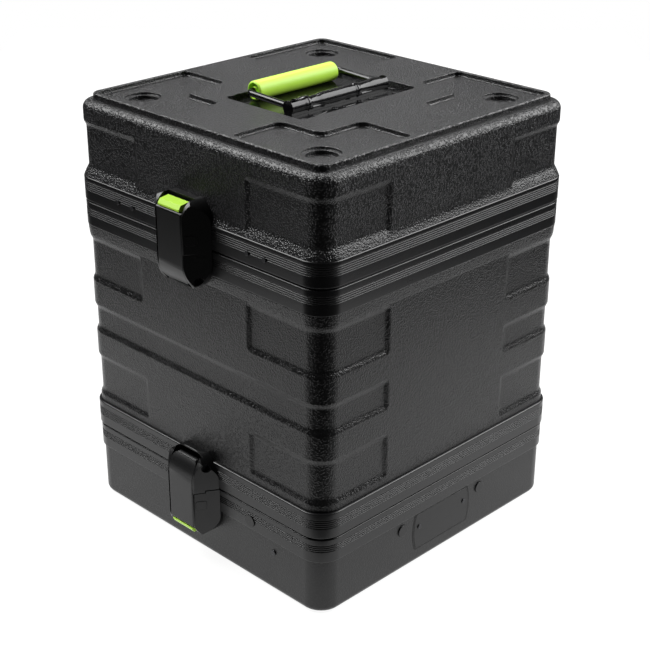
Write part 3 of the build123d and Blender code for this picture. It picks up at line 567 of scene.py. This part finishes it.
class CASE_OT_lid(bpy.types.Operator):
    """Build the lid: walls, shoulder, corner pads with pockets, raised middle and handle well"""

    bl_idname = "case.lid"
    bl_label = "Lid"
    bl_options = {"REGISTER", "UNDO"}

    def walls(self, edge):
        """The walls up to the shoulder, as one closed ring."""
        shoulder_radius, panel_foot, panel_top = 10.0, 441.0, 504.0
        panel = Dent(panel_foot, panel_top, LID_PANEL, (PANEL_END_FRONT, PANEL_END_SIDE), edge)
        outline = rounded([
            (LINER, LID_RIM, 0), (LINER, LID_FLARE, 0), (LID_FLANGE, LID_FLARE, 0.5),
            (LID_FLANGE - 1.2, LID_FLARE + 2.5, 0), (LID_FACE + 1.0, LID_FLARE + 5.5, 0),
            (LID_FACE + 0.3, LID_FOOT - 1, 0), (LID_FACE, LID_FOOT + 1, 0),
            (LID_FACE, SHOULDER, shoulder_radius), (RING_INSIDE, SHOULDER, 0), (RING_INSIDE, DECK, 0),
            (CAVITY, DECK, 0), (CAVITY, LID_RIM, 0)], 8)
        return square_sweep(outline, [panel])

    def in_top(self, edge):
        """Says that an edge lies inside the rim and above the deck."""
        middle = centre_of(edge)
        return max(abs(middle.x), abs(middle.y)) < TOP_EDGE - 3 and middle.z > DECK + 1

    def in_cove(self, edge):
        """Says that an edge lies where a corner pad's floor meets its walls, clear of the pocket."""
        middle, pocket_clear = centre_of(edge), 24
        return (self.in_top(edge) and all(abs(v.co.z - PAD_FLOOR) < 0.1 for v in edge.verts)
                and math.hypot(abs(middle.x) - POCKET, abs(middle.y) - POCKET) > pocket_clear)

    def top(self):
        """The top inside the shoulder: rim, sunk corner pads, stepped pockets and handle well."""
        bm = copied("lid_shell")
        spare = [f for f in bm.faces if any(
            max(abs(v.co.x), abs(v.co.y)) > TOP_EDGE + 0.3 or v.co.z < DECK + 0.5 for v in f.verts)]
        bmesh.ops.delete(bm, geom=spare, context="FACES")
        rim = [e for e in bm.edges if len(e.link_faces) == 1]
        grown = bmesh.ops.extrude_edge_only(bm, edges=rim)["geom"]
        for vert in (g for g in grown if isinstance(g, bmesh.types.BMVert)):
            vert.co.z = DECK
        bmesh.ops.edgeloop_fill(bm, edges=[g for g in grown if isinstance(g, bmesh.types.BMEdge)
                                           and len(g.link_faces) == 1])
        cove, edge = 3.4, 0.9
        soften(bm, sharp_edges(bm, 50, self.in_cove), cove, segments=5)
        soften(bm, sharp_edges(bm, 50, self.in_top), edge)
        return bm

    def execute(self, context):
        sizes = context.scene.case_sizes
        lid = joined(self.walls(sizes.panel_edge / MM), self.top())
        dress("lid_cover", lid, "lid", "lid_plastic", ["lid_shell"])
        return {"FINISHED"}


class CASE_OT_frames(bpy.types.Operator):
    """Build the four extruded frames with their stripes, seal slots and tongues"""

    bl_idname = "case.frames"
    bl_label = "Metal frames"
    bl_options = {"REGISTER", "UNDO"}

    def outline(self, seam, back, outer, stripes, first, tongue):
        """One frame's section, written from its seam."""
        pitch, width, sunk, slant = 2.5, 1.2, 0.8, 0.15
        lip, lip_rise, wall_foot, tongue_drop, play = 2.6, 1.0, 6.0, 1.5, 0.4
        up = 1 if back > seam else -1
        stripe_edge, stripe_root = 0.55, 0.2
        points = [(LINER, back, 0), (outer, back, 1.5)]
        for index in reversed(range(stripes)):
            near, far = (seam + up * (first + index * pitch + d) for d in (0.0, width))
            points += [(outer, far, stripe_edge), (outer - sunk, far - up * slant, stripe_root),
                       (outer - sunk, near + up * slant, stripe_root), (outer, near, stripe_edge)]
        points += [(outer, seam + up * lip_rise, 1.1), (outer - lip, seam + up * lip_rise, 0),
                   (outer - lip, seam, 0)]
        if tongue:
            rise, near, far = -up * tongue_drop, SEAL_OUTSIDE - play, SEAL_INSIDE + play
        else:
            rise, near, far = up * SEAL_SLOT, SEAL_OUTSIDE, SEAL_INSIDE
        points += [(near, seam, 0), (near, seam + rise, 0), (far, seam + rise, 0), (far, seam, 0),
                   (CAVITY, seam, 0), (CAVITY, seam + up * wall_foot, 0), (LINER, seam + up * wall_foot, 0)]
        return rounded(points, 3)

    def execute(self, context):
        # number of stripes, height of the first one from the seam, and whether it has a tongue
        slotted, tongued = (4, 8.5, False), (5, 14.0, True)
        for name, body, node, seam, back, outer, kind in (
                ("base_frame", "base", "base_valance", LOW_SEAM, BASE_FRAME, FRAME_FACE, slotted),
                ("body_lower_frame", "body", "body_lower_valance",
                 LOW_SEAM + SEAM_PLAY, BODY_FOOT, LOWER_BODY_FRAME_FACE, tongued),
                ("body_upper_frame", "body", "body_upper_valance",
                 TOP_SEAM, TOP_FRAME, FRAME_FACE, slotted),
                ("lid_frame", "lid", "lid_valance",
                 TOP_SEAM + SEAM_PLAY, LID_FLARE, LID_FRAME_FACE, tongued)):
            ring = square_sweep(self.outline(seam, back, outer, *kind), arc=14)
            dress(name, ring, body, "valance_metal", [node])
        return {"FINISHED"}


class CASE_OT_seals(bpy.types.Operator):
    """Build the sponge seals that lie in the slots of the frames"""

    bl_idname = "case.seals"
    bl_label = "Seals"
    bl_options = {"REGISTER", "UNDO"}

    def execute(self, context):
        for name, seam, body, node in (("lower_seal", LOW_SEAM, "base", "lower_gasket"),
                                       ("upper_seal", TOP_SEAM, "body", "upper_gasket")):
            foot, top, radius = seam - SEAL_SLOT, seam - SEAL_SLOT + SEAL_HEIGHT, 1.3
            outline = rounded([(SEAL_INSIDE, foot, 0), (SEAL_OUTSIDE, foot, 0),
                               (SEAL_OUTSIDE, top, radius), (SEAL_INSIDE, top, radius)], 5)
            dress(name, square_sweep(outline, arc=12), body, "seal_rubber", [node])
        return {"FINISHED"}


class CASE_OT_foam(bpy.types.Operator):
    """Build the foam: base pad, crossed slats and the pad under the lid"""

    bl_idname = "case.foam"
    bl_label = "Foam"
    bl_options = {"REGISTER", "UNDO"}

    def base_pad(self):
        """The pad on the base's floor, with a slightly uneven top."""
        middle, top, edge, sag = 150.0, 15.0, 3.5, 0.2
        pad = square_sweep(rounded([(middle, BASE_FLOOR, 0), (FOAM, BASE_FLOOR, 0), (FOAM, top, edge),
                                    (middle, top, 0)], 5), arc=10, closed=False)
        for vert in pad.verts:
            if vert.co.z > top - 0.1:
                vert.co.z -= sag + sag * math.sin(vert.co.x / 31) * math.cos(vert.co.y / 27)
        return pad

    def lid_pad(self):
        """The pad under the lid: a plain back with rows of waves below it."""
        middle, back, wave_half, steps = 150.0, 14, 190.0, 110
        wave_length, wave_depth, wave_swing, fade, root = 44, 8.0, 7.5, 8, 6
        pad = square_sweep(rounded([(middle, DECK, 0), (FOAM, DECK, 0), (FOAM, DECK - 12, 4.0),
                                    (FOAM - 8, DECK - back, 0)], 5), arc=10, closed=False)
        bm = bmesh.new()
        grid = bmesh.ops.create_grid(bm, x_segments=steps, y_segments=steps, size=wave_half)["verts"]
        for vert in grid:
            wave = math.sin(vert.co.x * math.tau / wave_length) * math.sin(vert.co.y * math.tau / wave_length)
            near = min(1.0, (wave_half - max(abs(vert.co.x), abs(vert.co.y))) / fade)
            vert.co.z = DECK - back - near * (wave_depth + wave_swing * wave)
        bmesh.ops.extrude_edge_only(bm, edges=[e for e in bm.edges if len(e.link_faces) == 1])
        rim = [e for e in bm.edges if len(e.link_faces) == 1]
        for vert in {v for e in rim for v in e.verts}:
            vert.co.z = DECK - root
        bmesh.ops.edgeloop_fill(bm, edges=rim)
        return joined(pad, bm)

    def slats(self, node):
        """One set of slats with soft edges."""
        edge = 1.6
        bm = copied(node)
        soften(bm, sharp_edges(bm, 60), edge)
        return bm

    def execute(self, context):
        for name, shape, body, node, crease in (
                ("base_foam", self.base_pad(), "base", "base_foam_pad", 32),
                ("lid_foam", self.lid_pad(), "lid", "lid_foam_pad", 60),
                ("foam_slats_a", self.slats("foam_slats_long"), "body", "foam_slats_long", 32),
                ("foam_slats_b", self.slats("foam_slats_cross"), "body", "foam_slats_cross", 32)):
            dress(name, shape, body, "foam", [node], crease)
        return {"FINISHED"}


class CASE_OT_shelf(bpy.types.Operator):
    """Build the shelf under the foam cells and the ledges that carry it"""

    bl_idname = "case.shelf"
    bl_label = "Shelf"
    bl_options = {"REGISTER", "UNDO"}

    def execute(self, context):
        for name, node, radius in (("shelf_board", "shelf_panel", 0.8),
                                   ("ledge_strips", "shelf_ledges", 1.0)):
            board = copied(node)
            soften(board, sharp_edges(board, 60), radius, segments=2)
            dress(name, board, "body", "shelf_board", [node])
        return {"FINISHED"}


class CASE_OT_latches(bpy.types.Operator):
    """Build the four latches: housings, levers, claws, triggers, caps and pivot pins"""

    bl_idname = "case.latches"
    bl_label = "Latches"
    bl_options = {"REGISTER", "UNDO"}

    def on_parting(self, edge):
        """Says that an edge lies in the parting line between the two housings of a latch."""
        near_seam, clear_of_wall, shortest = 4, 212, 2.5
        middle = centre_of(edge)
        return (min(abs(middle.z - LOW_SEAM), abs(middle.z - TOP_SEAM)) < near_seam
                and abs(middle.x) > clear_of_wall and edge.calc_length() > shortest)

    def execute(self, context):
        sizes = context.scene.case_sizes
        edge, parting_edge, claw_edge, trigger_edge, cap_edge = sizes.moulding_edge / MM, 0.7, 0.4, 1.2, 0.35
        for level, far_body in (("upper", "lid"), ("lower", "base")):
            for hand in ("left", "right"):
                name = f"{level}_{hand}"
                for part, body, slot, radius, segments in (
                        ("pivot_housing", "body", "latch_plastic", edge, 3),
                        ("keeper_housing", far_body, "latch_plastic", edge, 3),
                        ("lever", f"{name}_lever_body", "latch_plastic", edge, 3),
                        ("claw", f"{name}_lever_body", "spring_steel", claw_edge, 2),
                        ("trigger", f"{name}_trigger_body", "green_plastic", trigger_edge, 3)):
                    piece = copied(f"{name}_{part}")
                    if "housing" in part:
                        soften(piece, sharp_edges(piece, 60, self.on_parting), parting_edge, clamp=False)
                    soften(piece, sharp_edges(piece, 32), radius, segments)
                    dress(f"{name}_{part}_skin", piece, body, slot, [f"{name}_{part}"])
        for name, node, body, slot in (
                ("lid_latch_plugs", "lid_latch_caps", "lid", "latch_plastic"),
                ("base_latch_plugs", "base_latch_caps", "base", "latch_plastic"),
                ("latch_pins", "latch_pivot_pins", "body", "dark_fasteners")):
            piece = copied(node)
            soften(piece, sharp_edges(piece, 50), cap_edge, segments=2)
            dress(name, piece, body, slot, [node])
        return {"FINISHED"}


class CASE_OT_handle(bpy.types.Operator):
    """Build the spring handle: plate, barrel, rod, grip, rivets and springs"""

    bl_idname = "case.handle"
    bl_label = "Handle"
    bl_options = {"REGISTER", "UNDO"}

    def barrel(self):
        """The barrel drawn in on each side of its fat middle sleeve, with a collar at each split."""
        bm = copied("handle_barrel")
        bore, foot = 7.0, -3.5               # what lies inside these keeps its shape
        collar, drawn_in = 1.08, 0.86
        waist = ((-61, 1.0), (-58, collar), (-49, collar), (-46, drawn_in), (-34, drawn_in), (-28, 1.0),
                 (22, 1.0), (24, collar), (31, collar), (34, drawn_in), (50, drawn_in), (56, 1.0))
        for x, _ in waist:
            bmesh.ops.bisect_plane(bm, geom=list(bm.verts) + list(bm.edges) + list(bm.faces),
                                   plane_co=(x, 0, 0), plane_no=(1, 0, 0))
        for vert in bm.verts:
            spoke = Vector((vert.co.y - PIVOT_Y, vert.co.z - PIVOT_Z))
            if spoke.length < bore or spoke.y < foot:
                continue
            factor = 1.0
            for (x0, f0), (x1, f1) in zip(waist, waist[1:]):
                if x0 <= vert.co.x <= x1:
                    factor = f0 + (f1 - f0) * (vert.co.x - x0) / (x1 - x0)
            vert.co.y, vert.co.z = PIVOT_Y + spoke.x * factor, PIVOT_Z + spoke.y * factor
        return bm

    def plate(self):
        """The dish with the stamped ribs between its rivets."""
        width, height, corner, rib_edge, dish_edge = 6.0, 2.4, 2.8, 0.9, 0.8
        ribs = [copied("handle_plate")]
        for x, y, length, turn in ((-48.0, -45.0, 26.0, 14), (0.0, -44.0, 20.0, 0), (48.0, -45.0, 26.0, -14),
                                   (88.0, -30.0, 12.0, 90)):
            rib = bmesh.new()
            bmesh.ops.create_cube(rib, size=1.0)
            bmesh.ops.scale(rib, vec=(length, width, height), verts=rib.verts)
            soften(rib, [e for e in rib.edges if abs(e.verts[0].co.z - e.verts[1].co.z) > 1], corner, 5)
            soften(rib, [e for e in sharp_edges(rib, 50) if centre_of(e).z > 1], rib_edge)
            bmesh.ops.transform(rib, verts=rib.verts, matrix=Matrix.Translation((x, y, PLATE_TOP))
                                @ Matrix.Rotation(math.radians(turn), 4, "Z"))
            ribs.append(rib)
        soften(ribs[0], sharp_edges(ribs[0], 50), dish_edge)
        return joined(*ribs)

    def grip(self):
        """The grip with hollow ends round the rod."""
        wall, hollow = 1.4, 7.0
        bm = copied("handle_grip")
        ends = [f for f in bm.faces if abs(f.normal.x) > 0.99]
        bmesh.ops.inset_region(bm, faces=ends, thickness=wall, use_even_offset=True)
        for vert in {v for f in ends for v in f.verts}:
            vert.co.x -= math.copysign(hollow, vert.co.x)
        return bm

    def execute(self, context):
        for name, piece, node, body, slot, radius in (
                ("handle_dish", self.plate(), "handle_plate", "lid", "handle_metal", 0.0),
                ("handle_rivets", copied("handle_plate_rivets"), "handle_plate_rivets",
                 "lid", "handle_metal", 0.2),
                ("handle_tube", self.barrel(), "handle_barrel", "lid", "handle_metal", 0.35),
                ("handle_coils", copied("handle_springs"), "handle_springs", "lid", "spring_steel", 0.3),
                ("handle_rod", copied("handle_bail"), "handle_bail", "handle", "handle_metal", 0.5),
                ("hand_grip", self.grip(), "handle_grip", "handle", "green_rubber", 0.5)):
            if radius:
                soften(piece, sharp_edges(piece, 50), radius)
            dress(name, piece, body, slot, [node])
        return {"FINISHED"}


class CASE_OT_fittings(bpy.types.Operator):
    """Build the blank name plate with a dark sheet behind its edge as a painted shadow, its screws, the plugs
    and the rivets
    """

    bl_idname = "case.fittings"
    bl_label = "Plate, plugs and rivets"
    bl_options = {"REGISTER", "UNDO"}

    def execute(self, context):
        for name, node, body, slot, radius in (
                ("blank_plate", "name_plate", "base", "plate_metal", 0.8),
                ("plate_screws", "name_plate_screws", "base", "dark_fasteners", 0.2),
                ("drain_plugs", "base_plugs", "base", "latch_plastic", 0.3),
                ("side_rivet", "base_rivet", "base", "dark_fasteners", 0.2),
                ("frame_rivets", "lid_rivets", "lid", "dark_fasteners", 0.5)):
            piece = copied(node)
            soften(piece, sharp_edges(piece, 50), radius)
            dress(name, piece, body, slot, [node])
        # A dark rubber sheet a little wider and taller than the plate stands just proud of the wall round it:
        # a painted shadow for the gap round the plate.
        wider, taller, proud, sunk = 1.05, 1.08, 0.2, 0.5
        shadow_sheet = copied("name_plate")
        bmesh.ops.scale(shadow_sheet, vec=(wider, 1.0, taller), verts=shadow_sheet.verts,
                        space=Matrix.Translation((0, 0, -NAME_PLATE_MIDDLE)))
        for vert in shadow_sheet.verts:
            vert.co.y = -BASE_FACE - proud if vert.co.y < -BASE_FACE else -BASE_FACE + sunk
        dress("plate_shadow_sheet", shadow_sheet, "base", "seal_rubber")
        return {"FINISHED"}


class CASE_OT_stage(bpy.types.Operator):
    """Build the floor, the studio light and the camera"""

    bl_idname = "case.stage"
    bl_label = "Stage"
    bl_options = {"REGISTER", "UNDO"}

    def light(self, name, place, size, radiance):
        """One soft square light that faces the case."""
        case_middle = Vector((0, 0, 0.3))
        lamp = bpy.data.lights.new(name, "AREA")
        lamp.shape, lamp.size, lamp.energy = "SQUARE", size, radiance * math.pi * size * size
        holder = bpy.data.objects.new(name, lamp)
        holder.location = place
        holder.rotation_euler = (case_middle - Vector(place)).to_track_quat("-Z", "Y").to_euler()
        holder.visible_camera = False
        bpy.context.scene.collection.objects.link(holder)

    def sheet(self, name, corners, glow):
        """A flat sheet of the studio, which gives light of its own where its glow is above 0."""
        bm = bmesh.new()
        bm.faces.new([bm.verts.new(corner) for corner in corners])
        mesh = bpy.data.meshes.new(name)
        bm.to_mesh(mesh)
        bm.free()
        sheet = bpy.data.objects.new(name, mesh)
        paint = Finish(name, Roughness=0.9, Base_Color=tuple(bpy.context.scene.case_colours.floor),
                       Specular_IOR_Level=0.1, Emission_Color=(1, 1, 1, 1), Emission_Strength=glow)
        mesh.materials.append(paint.material)
        bpy.context.scene.collection.objects.link(sheet)
        return sheet

    def execute(self, context):
        scene = bpy.context.scene
        scene.view_settings.view_transform = "Standard"
        near, far, wide = -0.42, 2.6, 0.90
        wall_half, wall_top = 2.6, Vector((0, 0, 2.6))
        back, side = Vector((1, 1, 0)).normalized(), Vector((1, -1, 0)).normalized()
        self.sheet("studio_floor", [back * near - side * wide, back * near + side * wide,
                                    back * far + side * wide, back * far - side * wide], glow=0.92)
        wall = self.sheet("back_wall", [back * far - side * wall_half, back * far + side * wall_half,
                                        back * far + side * wall_half + wall_top,
                                        back * far - side * wall_half + wall_top], glow=0.0)
        wall.visible_camera = False
        self.light("Left light", (-1.0, 1.6, 2.5), size=1.8, radiance=11.0)
        self.light("Right light", (2.0, -1.3, 2.0), size=2.2, radiance=8.0)
        self.light("Back light", (1.3, 1.3, 3.0), size=1.1, radiance=14.0)

        # the camera sees white round the floor, and the case is lit by a much dimmer sky
        dim = 0.04
        world = bpy.data.worlds.new("Studio")
        world.use_nodes = True
        tree = world.node_tree
        dark = tree.nodes["Background"]
        dark.inputs["Color"].default_value = (1.0, 1.0, 1.0, 1.0)
        dark.inputs["Strength"].default_value = dim
        white = tree.nodes.new("ShaderNodeBackground")
        white.inputs["Color"].default_value = (1.0, 1.0, 1.0, 1.0)
        seen = tree.nodes.new("ShaderNodeLightPath")
        mix = tree.nodes.new("ShaderNodeMixShader")
        tree.links.new(seen.outputs["Is Camera Ray"], mix.inputs[0])
        tree.links.new(dark.outputs[0], mix.inputs[1])
        tree.links.new(white.outputs[0], mix.inputs[2])
        tree.links.new(mix.outputs[0], tree.nodes["World Output"].inputs["Surface"])
        scene.world = world

        lens = bpy.data.cameras.new("Camera")
        lens.lens, lens.sensor_width = 79.0, 36.0
        lens.clip_end = 50.0
        camera = bpy.data.objects.new("Camera", lens)
        place, target = Vector((-1.1514, -1.1514, 0.9872)), Vector((0.0031, -0.0031, 0.2345))
        aim = (target - place).to_track_quat("-Z", "Y").to_matrix().to_4x4()
        roll = Matrix.Rotation(math.radians(0.163), 4, "Z")
        camera.matrix_world = Matrix.Translation(place) @ aim @ roll
        scene.collection.objects.link(camera)
        scene.camera = camera
        return {"FINISHED"}


STEPS = (CASE_OT_base, CASE_OT_body, CASE_OT_lid, CASE_OT_frames, CASE_OT_seals, CASE_OT_foam,
         CASE_OT_shelf, CASE_OT_latches, CASE_OT_handle, CASE_OT_fittings, CASE_OT_stage)


class CASE_PT_build(bpy.types.Panel):
    """Lists the steps that build the case"""

    bl_label = "Microphone case"
    bl_idname = "CASE_PT_build"
    bl_space_type = "VIEW_3D"
    bl_region_type = "UI"
    bl_category = "Case"

    def draw(self, context):
        for group in (context.scene.case_sizes, context.scene.case_colours):
            box = self.layout.box()
            for name in group.__annotations__:
                box.prop(group, name)
        for step in STEPS:
            self.layout.operator(step.bl_idname)


def register():
    for cls in (CaseSizes, CaseColours, *STEPS, CASE_PT_build):
        bpy.utils.register_class(cls)
    bpy.types.Scene.case_sizes = PointerProperty(type=CaseSizes)
    bpy.types.Scene.case_colours = PointerProperty(type=CaseColours)


def unregister():
    del bpy.types.Scene.case_sizes
    del bpy.types.Scene.case_colours
    for cls in reversed((CaseSizes, CaseColours, *STEPS, CASE_PT_build)):
        bpy.utils.unregister_class(cls)


def main():
    """Builds everything in order."""
    register()
    for step in STEPS:
        group, name = step.bl_idname.split(".")
        getattr(getattr(bpy.ops, group), name)()


if __name__ == "__main__":
    main()
